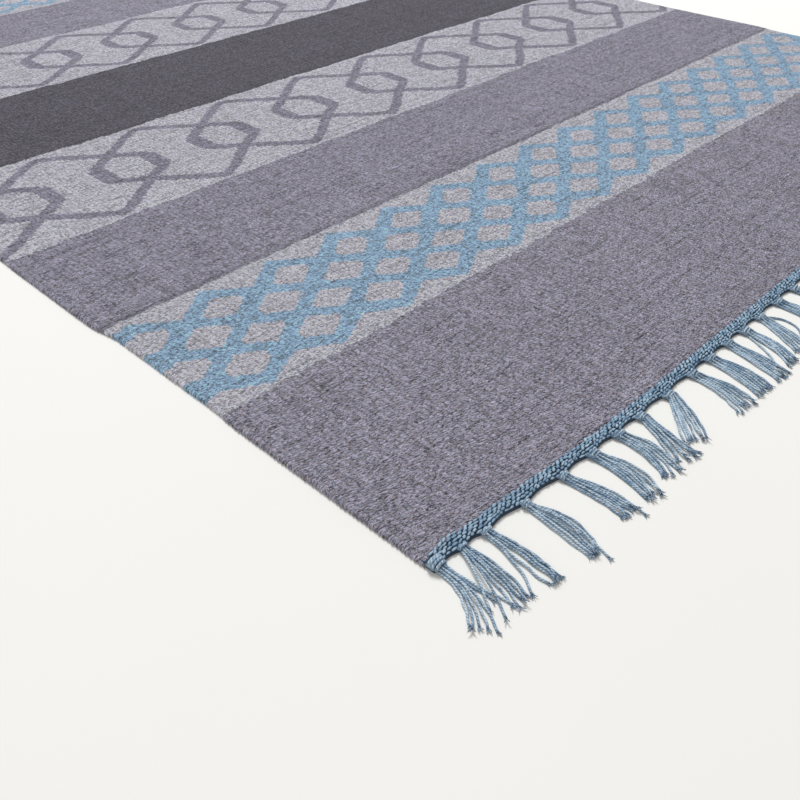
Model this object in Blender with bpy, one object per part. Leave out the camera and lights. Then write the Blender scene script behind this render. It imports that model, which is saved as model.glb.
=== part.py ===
"""A flat-woven rug, with a corded border and knotted tassels at both ends.

Metres, +Z up, +X across the rug and +Y along it. The origin is the middle of
the cloth's flat underside, which lies on the floor at Z = 0. The rug is three
pieces: the woven cloth with its selvedges, and at each end a corded border
whose outer edge runs out into knotted tassels.
"""

import math
import random
from dataclasses import dataclass

import bmesh
import bpy

MM = 0.001

# The woven cloth
WIDTH = 1400 * MM
LENGTH = 2000 * MM
THICKNESS = 4.5 * MM
EDGE_INSET_TOP = 1.6 * MM
EDGE_INSET_FOOT = 1.0 * MM
EDGE_MIDDLE = 0.45
EDGE_SHOULDER = 0.92
COLUMNS = 28
ROWS = 40

# The bands from the front border to the middle of the rug: the depth of each
# and how far its selvedge stands out, because a plain band spreads and a
# patterned one draws in
BAND_TABLE = (
    # name, depth, stands_out
    ("plum outer", 226 * MM, 0.0 * MM),
    ("lattice", 192 * MM, -2.0 * MM),
    ("plum inner", 192 * MM, 4.0 * MM),
    ("scroll", 242 * MM, 3.0 * MM),
    ("charcoal half", 134 * MM, 0.0 * MM),
)
SELVEDGE_EASE = 45 * MM
RIPPLE = 0.25 * MM
RIPPLE_ALONG = 310 * MM
RIPPLE_ACROSS = 470 * MM

# The corded border at each end
BORDER_DEPTH = 13 * MM
BORDER_HEIGHT = 5.0 * MM
BORDER_SHOULDER = 0.78
BORDER_LIP = 0.55
BORDER_GAP = 0.45 * MM
SCALLOP = 2.6 * MM

# The corners of a section across the border, from the cloth's side outwards
SECTION_CORNERS = 5
LIP = 3
FOOT = 4

# How far each corner is drawn in, and over what width the drawing fades
CORNER_TABLE = {
    # end: (left corner, right corner)
    "front": (11.0 * MM, 6.0 * MM),
    "back": (8.0 * MM, 5.0 * MM),
}
CORNER_FADE = 150 * MM

# A tassel's knot, and the locks of cords that leave it
KNOT_HALF_ROOT = 4.6 * MM
KNOT_HALF_WIDTH = 6.4 * MM
KNOT_HALF_NECK = 5.4 * MM
KNOT_HEIGHT = 7.0 * MM
KNOT_SIDE_HEIGHT = 5.4 * MM
KNOT_NECK_HEIGHT = 4.6 * MM
KNOT_NECK_SIDE_HEIGHT = 3.9 * MM
KNOT_CROWN_OUT = 3.0 * MM
KNOT_NECK_OUT = 7.5 * MM
CORNER_KNOT_SCALE = 1.25
LOCKS = 3
LOCK_SIDES = 3
LOCK_STOPS = (0.22, 0.48, 0.75, 1.0)
LOCK_BEND = 1.25
LOCK_WIDTH_TIP = 5.0 * MM
LOCK_HEIGHT_ROOT = 4.2 * MM
LOCK_HEIGHT_TIP = 2.4 * MM

# The tassels nearest the left corner of the front end, one row each
TASSEL_TABLE = (
    # knot, lean, reach, splay
    (6, -14, 62, 12),
    (31, -9, 67, 8),
    (57, -12, 65, 9),
    (100, -6, 67, 7),
    (145, 1, 66, 7),
    (183, -10, 60, 8),
    (219, -13, 56, 9),
    (252, -20, 53, 8),
    (296, -41, 47, 10),
    (339, -13, 61, 13),
    (372, -13, 63, 10),
    (406, -17, 63, 10),
    (439, -20, 58, 9),
    (473, -27, 62, 10),
    (513, -18, 62, 10),
)
TASSELS = 39
END_KNOT = 6 * MM
SPACING_SPREAD = 0.16
LEAN_RANGE = (-30 * MM, 8 * MM)
LEAN_STEP = 13 * MM
REACH_RANGE = (57 * MM, 67 * MM)
SPLAY_RANGE = (7 * MM, 11 * MM)
SEEDS = {"front": 11, "back": 29}

# Colours, roughness: the pieces' own, from the wool and the cord
PLUM = (0.22, 0.215, 0.265, 1.0)
BLUE = (0.17, 0.29, 0.40, 1.0)
ROUGHNESS = 0.9


@dataclass(frozen=True)
class Tassel:
    """One tassel, measured from the left selvedge and the border's edge."""

    knot: float
    lean: float
    reach: float
    splay: float

    @property
    def tip(self):
        """Where the middle of the tips lies, across the rug."""
        return self.knot + self.lean


def remaining_tassels(rng, first, count, previous):
    """Tassels from `first` to the far corner, each clear of the one before."""
    weights = [1 + rng.uniform(-SPACING_SPREAD, SPACING_SPREAD) for _ in range(count)]
    pitch = (WIDTH - END_KNOT - first) / sum(weights)
    tassels = []
    knot = first
    lean = previous.lean if previous else 0.0
    for weight in weights:
        knot += weight * pitch
        splay = rng.uniform(*SPLAY_RANGE)
        lean = lean + rng.uniform(-LEAN_STEP, LEAN_STEP)
        lean = min(max(lean, LEAN_RANGE[0]), LEAN_RANGE[1])
        if previous:
            clear = previous.tip + previous.splay + splay + LOCK_WIDTH_TIP + MM
            lean = max(lean, clear - knot)
        previous = Tassel(knot, lean, rng.uniform(*REACH_RANGE), splay)
        tassels.append(previous)
    return tassels


def tassels_of(end):
    """All the tassels of one end, from its left corner to its right one."""
    rng = random.Random(SEEDS[end])
    if end == "front":
        placed = [Tassel(*(value * MM for value in row)) for row in TASSEL_TABLE]
    else:
        placed = [Tassel(END_KNOT, -4 * MM, 61 * MM, 8 * MM)]
    rest = remaining_tassels(rng, placed[-1].knot, TASSELS - len(placed), placed[-1])
    return placed + rest


def drawn_in(end, x):
    """How far the end's line is pulled in towards the cloth, at this x."""
    left, right = CORNER_TABLE[end]
    from_left = (x + WIDTH / 2) / CORNER_FADE
    from_right = (WIDTH / 2 - x) / CORNER_FADE
    return left * math.exp(-from_left**2) + right * math.exp(-from_right**2)


def stands_out(y):
    """How far the selvedges stand out at this y, eased from band to band."""
    from_end = LENGTH / 2 - abs(y) - BORDER_DEPTH
    edge = 0.0
    level = BAND_TABLE[0][2]
    for (_, depth, here), (_, _, beyond) in zip(BAND_TABLE, BAND_TABLE[1:]):
        edge += depth
        share = min(max((from_end - edge) / SELVEDGE_EASE + 0.5, 0.0), 1.0)
        level += (beyond - here) * share * share * (3 - 2 * share)
    return level


def ripple(x, y):
    """The cloth's slight unevenness, in metres of height."""
    along = math.sin(2 * math.pi * y / RIPPLE_ALONG)
    across = math.sin(2 * math.pi * (x / RIPPLE_ACROSS + y / LENGTH))
    return RIPPLE * along * across


def material(name, colour):
    """A matt woollen finish."""
    made = bpy.data.materials.new(name)
    made.use_nodes = True
    shader = made.node_tree.nodes["Principled BSDF"]
    shader.inputs["Base Color"].default_value = colour
    shader.inputs["Roughness"].default_value = ROUGHNESS
    shader.inputs["Metallic"].default_value = 0.0
    return made


def finish_mesh(name, bm, finish):
    """The bmesh made an object with its faces outwards and its finish on."""
    bmesh.ops.recalc_face_normals(bm, faces=bm.faces)
    bmesh.ops.triangulate(bm, faces=bm.faces)
    mesh = bpy.data.meshes.new(name)
    bm.to_mesh(mesh)
    bm.free()
    mesh.materials.append(finish)
    made = bpy.data.objects.new(name, mesh)
    bpy.context.scene.collection.objects.link(made)
    return made


def column_share(index):
    """The share of the width at a column; columns crowd to the corners."""
    even = index / COLUMNS
    crowded = (1 - math.cos(math.pi * even)) / 2
    return (even + crowded) / 2


def cloth_point(across, along, inset, height):
    """A point of the cloth, `inset` from its outline, at this height."""
    x_guess = WIDTH * (across - 0.5)
    front = -LENGTH / 2 + BORDER_DEPTH + BORDER_GAP + drawn_in("front", x_guess) + inset
    back = LENGTH / 2 - BORDER_DEPTH - BORDER_GAP - drawn_in("back", -x_guess) - inset
    y = front + (back - front) * along
    half = WIDTH / 2 + stands_out(y) - inset
    return half * (2 * across - 1), y, height


def build_cloth(finish):
    """The woven sheet: a flat foot, rounded edges and a barely uneven top."""
    bm = bmesh.new()
    top = []
    for row in range(ROWS + 1):
        points = []
        for column in range(COLUMNS + 1):
            x, y, _ = cloth_point(column_share(column), row / ROWS, EDGE_INSET_TOP, 0)
            rim = row in (0, ROWS) or column in (0, COLUMNS)
            height = THICKNESS * EDGE_SHOULDER if rim else THICKNESS + ripple(x, y)
            points.append(bm.verts.new((x, y, height)))
        top.append(points)
    for lower, upper in zip(top, top[1:]):
        for a, b, c, d in zip(lower, lower[1:], upper[1:], upper):
            bm.faces.new((a, b, c, d))

    rim_places = [(c, 0) for c in range(COLUMNS)]
    rim_places += [(COLUMNS, r) for r in range(ROWS)]
    rim_places += [(c, ROWS) for c in range(COLUMNS, 0, -1)]
    rim_places += [(0, r) for r in range(ROWS, 0, -1)]
    rims = [[top[row][column] for column, row in rim_places]]
    for inset, height in ((0.0, THICKNESS * EDGE_MIDDLE), (EDGE_INSET_FOOT, 0.0)):
        ring = []
        for column, row in rim_places:
            place = cloth_point(column_share(column), row / ROWS, inset, height)
            ring.append(bm.verts.new(place))
        rims.append(ring)
    for upper, lower in zip(rims, rims[1:]):
        for index, here in enumerate(upper):
            beyond = (index + 1) % len(upper)
            bm.faces.new((here, lower[index], lower[beyond], upper[beyond]))
    bm.faces.new(rims[-1])
    return finish_mesh("cloth", bm, finish)


def edge_line(end, x):
    """The border's outer edge at a knot, in the end's own frame."""
    return -LENGTH / 2 + drawn_in(end, x)


def border_station(bm, end, x, hollow):
    """One section across the border: foot, shoulder, crown, lip and edge."""
    inner = edge_line(end, x) + BORDER_DEPTH
    outer = edge_line(end, x) + hollow
    middle = (inner + outer) / 2
    profile = (
        (inner, 0.0),
        (inner, BORDER_HEIGHT * BORDER_SHOULDER),
        (middle, BORDER_HEIGHT),
        (outer, BORDER_HEIGHT * BORDER_LIP),
        (outer, 0.0),
    )
    return [bm.verts.new((x, y, z)) for y, z in profile]


def lock_sections(bm, tassel, knot_x, neck_y, place, root):
    """The sections of one lock, from the knot's neck to its tips."""
    side = place - (LOCKS - 1) / 2
    start = knot_x + side * 2 * KNOT_HALF_NECK / LOCKS
    swing = tassel.lean + side * tassel.splay - (start - knot_x)
    root_width = 2 * KNOT_HALF_NECK / LOCKS
    run = tassel.reach - KNOT_NECK_OUT
    sections = [root]
    for stop in LOCK_STOPS:
        x = start + swing * stop**LOCK_BEND
        y = neck_y - run * stop
        slope = swing * LOCK_BEND * stop ** (LOCK_BEND - 1)
        steep = math.hypot(slope, run)
        half = (root_width + (LOCK_WIDTH_TIP - root_width) * stop) / 2
        height = LOCK_HEIGHT_ROOT + (LOCK_HEIGHT_TIP - LOCK_HEIGHT_ROOT) * stop
        aside = (half * run / steep, half * slope / steep)
        sections.append(
            [
                bm.verts.new((x - aside[0], y - aside[1], 0.0)),
                bm.verts.new((x + aside[0], y + aside[1], 0.0)),
                bm.verts.new((x, y, height)),
            ]
        )
    return sections


def build_tassel(bm, end, tassel, left, right):
    """A knot on the border's edge, and its locks lying on the floor."""
    knot_x = tassel.knot - WIDTH / 2
    at_corner = tassel.knot in (END_KNOT, WIDTH - END_KNOT)
    scale = CORNER_KNOT_SCALE if at_corner else 1.0
    edge = edge_line(end, knot_x)
    rings = []
    for half, out, side_height, crown in (
        (KNOT_HALF_WIDTH, KNOT_CROWN_OUT, KNOT_SIDE_HEIGHT, KNOT_HEIGHT * scale),
        (KNOT_HALF_NECK, KNOT_NECK_OUT, KNOT_NECK_SIDE_HEIGHT, KNOT_NECK_HEIGHT),
    ):
        y = edge - out
        foot = [knot_x - half + 2 * half * i / LOCKS for i in range(LOCKS + 1)]
        crests = [knot_x + (i - 1) * 2 * half / LOCKS for i in range(LOCKS)]
        heights = (side_height, crown, side_height)
        rings.append(
            (
                [bm.verts.new((x, y, 0.0)) for x in foot],
                [bm.verts.new((x, y, z)) for x, z in zip(crests, heights)],
            )
        )

    (feet, crests), (neck_feet, neck_crests) = rings
    foot_left, lip_left = left[FOOT], left[LIP]
    foot_right, lip_right = right[FOOT], right[LIP]
    bm.faces.new((foot_left, *feet, foot_right))
    bm.faces.new((foot_left, lip_left, crests[0], feet[0]))
    bm.faces.new((foot_right, feet[-1], crests[-1], lip_right))
    bm.faces.new((lip_left, crests[1], crests[0]))
    bm.faces.new((lip_left, lip_right, crests[1]))
    bm.faces.new((lip_right, crests[2], crests[1]))

    ring = feet + crests[::-1]
    neck = neck_feet + neck_crests[::-1]
    for index, here in enumerate(ring):
        beyond = (index + 1) % len(ring)
        bm.faces.new((here, neck[index], neck[beyond], ring[beyond]))
    for index in range(LOCKS - 1):
        shared = neck_feet[index + 1]
        bm.faces.new((neck_crests[index], shared, neck_crests[index + 1]))
    for place in range(LOCKS):
        root = [neck_feet[place], neck_feet[place + 1], neck_crests[place]]
        sections = lock_sections(bm, tassel, knot_x, edge - KNOT_NECK_OUT, place, root)
        for nearer, further in zip(sections, sections[1:]):
            for index in range(LOCK_SIDES):
                beyond = (index + 1) % LOCK_SIDES
                bm.faces.new(
                    (nearer[index], further[index], further[beyond], nearer[beyond])
                )
        bm.faces.new(sections[-1])


def build_fringe(end, finish):
    """A corded border with its tassels; the back one is turned half round."""
    bm = bmesh.new()
    tassels = tassels_of(end)
    stations = []
    openings = []
    for index, tassel in enumerate(tassels):
        knot_x = tassel.knot - WIDTH / 2
        left = border_station(bm, end, knot_x - KNOT_HALF_ROOT, 0.0)
        right = border_station(bm, end, knot_x + KNOT_HALF_ROOT, 0.0)
        openings.append((len(stations), tassel))
        stations += [left, right]
        if index + 1 < len(tassels):
            beyond_x = tassels[index + 1].knot - WIDTH / 2
            hollow_x = (knot_x + beyond_x) / 2
            stations.append(border_station(bm, end, hollow_x, SCALLOP))
    opened = {index for index, _ in openings}
    for index, (left, right) in enumerate(zip(stations, stations[1:])):
        for corner in range(SECTION_CORNERS):
            beyond = (corner + 1) % SECTION_CORNERS
            if corner == LIP and index in opened:
                continue
            bm.faces.new((left[corner], left[beyond], right[beyond], right[corner]))
    bm.faces.new(stations[0])
    bm.faces.new(stations[-1])
    for index, tassel in openings:
        build_tassel(bm, end, tassel, stations[index], stations[index + 1])
    if end == "back":
        for vert in bm.verts:
            vert.co.x, vert.co.y = -vert.co.x, -vert.co.y
    return finish_mesh(f"{end}_fringe", bm, finish)


def main():
    """Clear the scene and build the three pieces."""
    for old in list(bpy.data.objects):
        bpy.data.objects.remove(old, do_unlink=True)
    wool = material("wool", PLUM)
    cord = material("cord", BLUE)
    build_cloth(wool)
    build_fringe("front", cord)
    build_fringe("back", cord)


if __name__ == "__main__":
    main()
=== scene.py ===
"""Looks of a flat-woven wool kilim with corded blue borders and knotted tassels.

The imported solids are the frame. Three of them are dressed here: the woven cloth
with its selvedges, and at each end a corded border with its tassels. Metres, +Z
up, +X across the rug, +Y along it, and the floor at Z = 0.
"""

from __future__ import annotations

import logging
import math
import random
from dataclasses import dataclass, field, replace
from enum import Enum

import bpy
import numpy as np
from mathutils import Euler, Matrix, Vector


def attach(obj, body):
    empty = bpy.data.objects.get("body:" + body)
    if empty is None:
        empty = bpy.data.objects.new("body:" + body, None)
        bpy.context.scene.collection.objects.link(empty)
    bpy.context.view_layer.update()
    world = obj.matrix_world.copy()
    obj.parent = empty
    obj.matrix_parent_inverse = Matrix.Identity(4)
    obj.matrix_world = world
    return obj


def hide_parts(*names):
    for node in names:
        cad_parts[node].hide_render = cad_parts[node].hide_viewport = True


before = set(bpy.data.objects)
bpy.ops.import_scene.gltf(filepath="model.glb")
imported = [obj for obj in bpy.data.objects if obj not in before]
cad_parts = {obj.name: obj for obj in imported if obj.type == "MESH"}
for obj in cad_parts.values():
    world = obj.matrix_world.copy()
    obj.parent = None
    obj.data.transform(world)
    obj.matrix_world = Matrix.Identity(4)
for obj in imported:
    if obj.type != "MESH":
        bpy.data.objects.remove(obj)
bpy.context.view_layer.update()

MM = 0.001
LOG = logging.getLogger("kilim")
Item = bpy.types.Object
Material = bpy.types.Material
Span = tuple[float, float]
Place = tuple[float, float, float]
Colour = tuple[float, float, float]


class End(Enum):
    """The two ends of the rug."""

    FRONT = "front"
    BACK = "back"

    @property
    def turn(self) -> float:
        """The sign that turns the front end's plan half round for this end."""
        return 1.0 if self is End.FRONT else -1.0


@dataclass(frozen=True)
class Band:
    """One woven band, by its depth and how far its selvedge stands out."""

    name: str
    depth: float
    stands_out: float = 0.0


@dataclass(frozen=True)
class Strand:
    """One cord's line, by its places beside the knot and how far it runs."""

    neck: float
    belly: float
    tip: float
    reach: float

    def between(self, other: Strand, share: float) -> Strand:
        """The line that lies at a share of the way to another one."""
        pairs = zip(vars(self).values(), vars(other).values())
        return Strand(*(a + (b - a) * share for a, b in pairs))


@dataclass(frozen=True)
class Fan:
    """A group of cords, spread evenly from its left one to its right one."""

    count: int
    left: Strand
    right: Strand
    lift: float = 0.0

    def strands(self) -> list[Strand]:
        """The group's cords, one line each."""
        shares = [k / (self.count - 1) for k in range(self.count)] if self.count > 1 else [0.5]
        return [self.left.between(self.right, share) for share in shares]


@dataclass(frozen=True)
class Tassel:
    """One tassel: where it is knotted, how it is wrapped, and its cords."""

    knot: float
    neck: float
    half_wrap: float
    turns: int
    fans: tuple[Fan, ...]


def fan_of(count: int, left: tuple[float, ...], right: tuple[float, ...] = (), lift: float = 0.0) -> Fan:
    """A fan from rows of millimetres.

    Args:
        count: How many cords it has.
        left: The left cord's neck, belly, tip and reach.
        right: The same of the right cord, left out for a single one.
        lift: How far the cords arch over others.

    Returns:
        The fan, in metres.
    """
    ends = [Strand(*(value * MM for value in row)) for row in (left, right or left)]
    return Fan(count, ends[0], ends[1], lift * MM)


# The bands from the front border to the middle of the rug
BANDS = (
    Band("plum outer", 241.5 * MM),
    Band("lattice", 190.5 * MM, -2.0 * MM),
    Band("plum inner", 193.0 * MM, 4.0 * MM),
    Band("scroll", 240.0 * MM, 3.0 * MM),
    Band("charcoal half", 122.0 * MM),
)

# The tassels nearest the left corner of the front end, set out one by one.
# Each row is the knot's place, the neck's offset, half the wrap and its turns,
# and then its fans, all in millimetres
CORNER_TASSELS = (
    (7.0, -2.0, 6.8, 4, (
        fan_of(5, (-4.0, -7.0, -25.0, 46.0), (1.0, 0.0, -13.3, 61.0)),
        fan_of(2, (2.5, 3.3, 4.5, 46.0), (4.5, 5.8, 11.5, 56.0)),
    )),
    (32.5, 0.0, 4.2, 2, (
        fan_of(2, (-3.0, -13.0, -30.0, 51.5), (-2.0, -11.0, -27.7, 61.0), 2.6),
        fan_of(5, (-1.5, -6.5, -15.0, 60.0), (3.5, 5.0, -1.0, 61.0)),
    )),
    (56.5, -2.5, 5.2, 2, (
        fan_of(2, (-3.5, -7.4, -22.0, 58.4), (-2.5, -4.5, -9.0, 59.5)),
        fan_of(5, (-0.5, 1.0, -2.5, 60.0), (3.5, 7.2, 3.7, 61.5)),
    )),
    (99.5, -5.0, 4.6, 2, (
        fan_of(6, (-2.5, -5.5, -10.0, 60.5), (3.0, 12.0, 1.5, 63.0)),
        fan_of(1, (1.0, 5.0, 1.0, 70.5)),
    )),
    (145.5, -4.8, 5.0, 2, (
        fan_of(6, (-4.0, -2.7, -3.7, 54.5), (2.5, 8.0, 10.5, 55.5)),
        fan_of(1, (3.5, 12.0, 8.3, 64.5)),
    )),
    (184.0, -6.3, 5.0, 2, (
        fan_of(6, (-5.0, -6.5, -16.0, 54.5), (3.0, 6.6, -3.5, 55.5)),
        fan_of(1, (4.5, 11.0, -0.5, 57.5)),
    )),
    (219.5, -6.2, 5.6, 2, (
        fan_of(6, (-5.0, -7.0, -18.0, 46.5), (3.5, 7.5, -3.5, 53.5)),
        fan_of(1, (4.5, 9.5, 2.0, 46.5)),
    )),
    (252.5, -5.2, 5.0, 2, (
        fan_of(5, (-4.5, -13.5, -28.6, 45.0), (1.0, -7.0, -18.5, 51.0)),
        fan_of(3, (1.5, -5.5, -13.0, 53.0), (4.0, -2.5, -8.0, 54.5)),
    )),
    (295.5, -6.1, 5.6, 2, (fan_of(8, (-5.0, -24.0, -46.4, 37.5), (4.5, -6.0, -27.3, 48.0)),)),
    (338.5, -7.0, 5.0, 2, (fan_of(7, (-5.0, -8.3, -21.0, 50.4), (4.5, 10.0, 3.4, 53.4)),)),
    (372.0, -4.5, 5.8, 2, (fan_of(7, (-5.5, -10.0, -20.6, 52.4), (5.5, 8.3, 1.0, 58.4)),)),
    (405.5, -4.5, 5.4, 2, (fan_of(7, (-4.5, -11.0, -20.0, 55.4), (4.5, 4.7, -2.3, 58.4)),)),
    (437.0, -7.5, 5.4, 2, (
        fan_of(1, (-5.0, -14.0, -29.5, 44.4)),
        fan_of(6, (-4.0, -7.6, -21.7, 49.4), (5.0, 3.5, -7.6, 50.4)),
    )),
    (471.0, -5.0, 5.6, 2, (
        fan_of(6, (-5.5, -16.0, -32.0, 49.4), (2.0, -1.3, -13.4, 54.0)),
        fan_of(1, (3.5, 12.8, -5.4, 43.0)),
    )),
    (510.0, -5.0, 6.0, 2, (fan_of(7, (-6.0, -8.0, -16.0, 52.0), (6.0, 9.0, 2.0, 56.0)),)),
)

# The back end's first tassel, in its own left corner
BACK_FANS = (fan_of(7, (-4.0, -5.0, -12.0, 55.0), (4.0, 6.0, 6.0, 60.0)),)


@dataclass(frozen=True)
class RugPlan:
    """The rug's plan: its outline, the lines of its ends and its tassels."""

    width: float = 1400 * MM
    length: float = 2000 * MM
    thickness: float = 4.5 * MM
    border_depth: float = 13 * MM
    selvedge_ease: float = 45 * MM
    corner_fade: float = 150 * MM
    front_corners: Span = (11.0 * MM, 6.0 * MM)
    back_corners: Span = (8.0 * MM, 5.0 * MM)
    scallop: float = 2.6 * MM
    ripple_height: float = 0.25 * MM
    ripple_pitches: Span = (470 * MM, 310 * MM)
    tassel_count: int = 39
    end_knot: float = 7 * MM
    end_neck: float = -2 * MM
    end_half_wrap: float = 6.2 * MM
    end_turns: int = 4
    half_wrap: float = 5.3 * MM
    turns: int = 2
    half_neck: float = 4.4 * MM
    neck_range: Span = (-7 * MM, -4 * MM)
    spacing_spread: float = 0.16
    lean_range: Span = (-30 * MM, 8 * MM)
    lean_step: float = 13 * MM
    first_leans: Span = (-7 * MM, -4 * MM)
    reach_range: Span = (50 * MM, 60 * MM)
    right_longer: float = 4 * MM
    splay_range: Span = (7 * MM, 11 * MM)
    belly_lean: float = 0.38
    belly_splay: Span = (0.55, 0.75)
    bulge_range: Span = (-1.0, 4.0)
    cord_counts: tuple[int, ...] = (7, 7, 8)
    parted_share: float = 0.35
    parted_after: tuple[int, ...] = (2, 5)
    parted_range: Span = (1.5, 4.0)
    lock_width: float = 5 * MM
    back_clear: float = 12 * MM
    front_seed: int = 11
    back_seed: int = 29

    def drawn_in(self, end: End, x: np.ndarray) -> np.ndarray:
        """How far an end's line is pulled in towards the cloth.

        Args:
            end: The end, whose own left is on the right for the back one.
            x: Places across the rug, in that end's own frame.

        Returns:
            The distance at each place.
        """
        left, right = self.front_corners if end is End.FRONT else self.back_corners
        from_left = (x + self.width / 2) / self.corner_fade
        from_right = (self.width / 2 - x) / self.corner_fade
        return left * np.exp(-(from_left**2)) + right * np.exp(-(from_right**2))

    def stands_out(self, y: np.ndarray) -> np.ndarray:
        """How far the selvedges stand out, eased from band to band.

        Args:
            y: Places along the rug.

        Returns:
            The distance at each place.
        """
        from_end = self.length / 2 - np.abs(y) - self.border_depth
        edge = 0.0
        level = np.full_like(from_end, BANDS[0].stands_out)
        for here, beyond in zip(BANDS, BANDS[1:]):
            edge += here.depth
            share = np.clip((from_end - edge) / self.selvedge_ease + 0.5, 0.0, 1.0)
            step = beyond.stands_out - here.stands_out
            level = level + step * share * share * (3 - 2 * share)
        return level

    def ripple(self, x: np.ndarray, y: np.ndarray) -> np.ndarray:
        """The cloth's slight unevenness.

        Args:
            x: Places across the rug.
            y: Places along it.

        Returns:
            What each place is higher by.
        """
        across_pitch, along_pitch = self.ripple_pitches
        along = np.sin(2 * np.pi * y / along_pitch)
        across = np.sin(2 * np.pi * (x / across_pitch + y / self.length))
        return self.ripple_height * along * across

    def tassels(self, end: End) -> list[Tassel]:
        """All the tassels of one end.

        Args:
            end: The end.

        Returns:
            The tassels, from the end's own left corner to its right one.
        """
        front = end is End.FRONT
        rng = random.Random(self.front_seed if front else self.back_seed)
        lean = self.first_leans[0 if front else 1]
        if front:
            placed = [
                Tassel(knot * MM, neck * MM, wrap * MM, turns, fans)
                for knot, neck, wrap, turns, fans in CORNER_TASSELS
            ]
            clear = placed[-1].knot + self.lock_width
        else:
            ends = (self.end_neck, self.end_half_wrap, self.end_turns)
            placed = [Tassel(self.end_knot, *ends, BACK_FANS)]
            clear = self.back_clear
        count = self.tassel_count - len(placed)
        spread = self.spacing_spread
        weights = [1 + rng.uniform(-spread, spread) for _ in range(count)]
        knot = placed[-1].knot
        pitch = (self.width - self.end_knot - knot) / sum(weights)
        for index, weight in enumerate(weights):
            knot += weight * pitch
            splay = rng.uniform(*self.splay_range)
            lean += rng.uniform(-self.lean_step, self.lean_step)
            lean = min(max(lean, self.lean_range[0]), self.lean_range[1])
            lean = max(lean, clear + splay + self.lock_width - knot)
            clear = knot + lean + splay
            placed.append(self._drawn(rng, knot, lean, splay, index == count - 1))
        return placed

    def _drawn(self, rng: random.Random, knot: float, lean: float, splay: float, last: bool) -> Tassel:
        """A tassel of the usual kind.

        Args:
            rng: The end's random numbers.
            knot: Where it is knotted.
            lean: How far right of the knot its tips lie.
            splay: How far its outer tips lie from their middle.
            last: Whether it is the one in the corner.

        Returns:
            The tassel.
        """
        reach = rng.uniform(*self.reach_range)
        bulge = rng.uniform(*self.bulge_range) * MM
        neck, belly = self.half_neck, lean * self.belly_lean
        left_out, right_out = (splay * share for share in self.belly_splay)
        left = Strand(-neck, belly - left_out, lean - splay, reach)
        right = Strand(neck, belly + right_out + bulge, lean + splay, reach + self.right_longer)
        count = rng.choice(self.cord_counts)
        fans = (Fan(count, left, right),)
        if rng.random() < self.parted_share:
            split = rng.choice(self.parted_after)
            rows = fans[0].strands()
            apart = rng.uniform(*self.parted_range) * MM
            aside = replace(rows[split - 1], tip=rows[split - 1].tip - apart)
            fans = (Fan(split, left, aside), Fan(count - split, rows[split], right))
        if last:
            return Tassel(knot, self.end_neck, self.end_half_wrap, self.end_turns, fans)
        return Tassel(knot, rng.uniform(*self.neck_range), self.half_wrap, self.turns, fans)


@dataclass(frozen=True)
class Grain:
    """Smooth noise: how fine and rough it is, and how far it swings each way."""

    scale: float
    detail: float = 2.0
    rough: float = 0.5
    swing: float = 0.0
    stretch: Place | None = None
    start: Place | None = None


@dataclass(frozen=True, eq=False)
class Value:
    """An output in a node tree, on which arithmetic adds further nodes."""

    graph: NodeGraph
    socket: bpy.types.NodeSocket

    def other(self, name: str) -> Value:
        """Another output of the same node."""
        return Value(self.graph, self.socket.node.outputs[name])

    def _by(self, operation: str, *values: object) -> Value:
        """A Math node, or a Vector Math node where this value is a vector."""
        kind = "VectorMath" if self.socket.type == "VECTOR" else "Math"
        return self.graph.add(f"ShaderNode{kind}", dict(enumerate(values)), operation=operation)

    def __add__(self, other: object) -> Value:
        """This and another."""
        return self._by("ADD", self, other)

    def __sub__(self, other: object) -> Value:
        """This less another."""
        return self._by("SUBTRACT", self, other)

    def __rsub__(self, other: object) -> Value:
        """Another less this."""
        return self._by("SUBTRACT", other, self)

    def __mul__(self, other: object) -> Value:
        """This times another."""
        return self._by("MULTIPLY", self, other)

    def __truediv__(self, other: object) -> Value:
        """This divided by another."""
        return self._by("DIVIDE", self, other)

    def __pow__(self, other: object) -> Value:
        """This to a power."""
        return self._by("POWER", self, other)

    def __abs__(self) -> Value:
        """This without its sign."""
        return self._by("ABSOLUTE", self)

    def __gt__(self, other: object) -> Value:
        """1 where this is more, 0 elsewhere."""
        return self._by("GREATER_THAN", self, other)

    def __lt__(self, other: object) -> Value:
        """1 where this is less, 0 elsewhere."""
        return self._by("LESS_THAN", self, other)

    __radd__ = __add__


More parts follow.
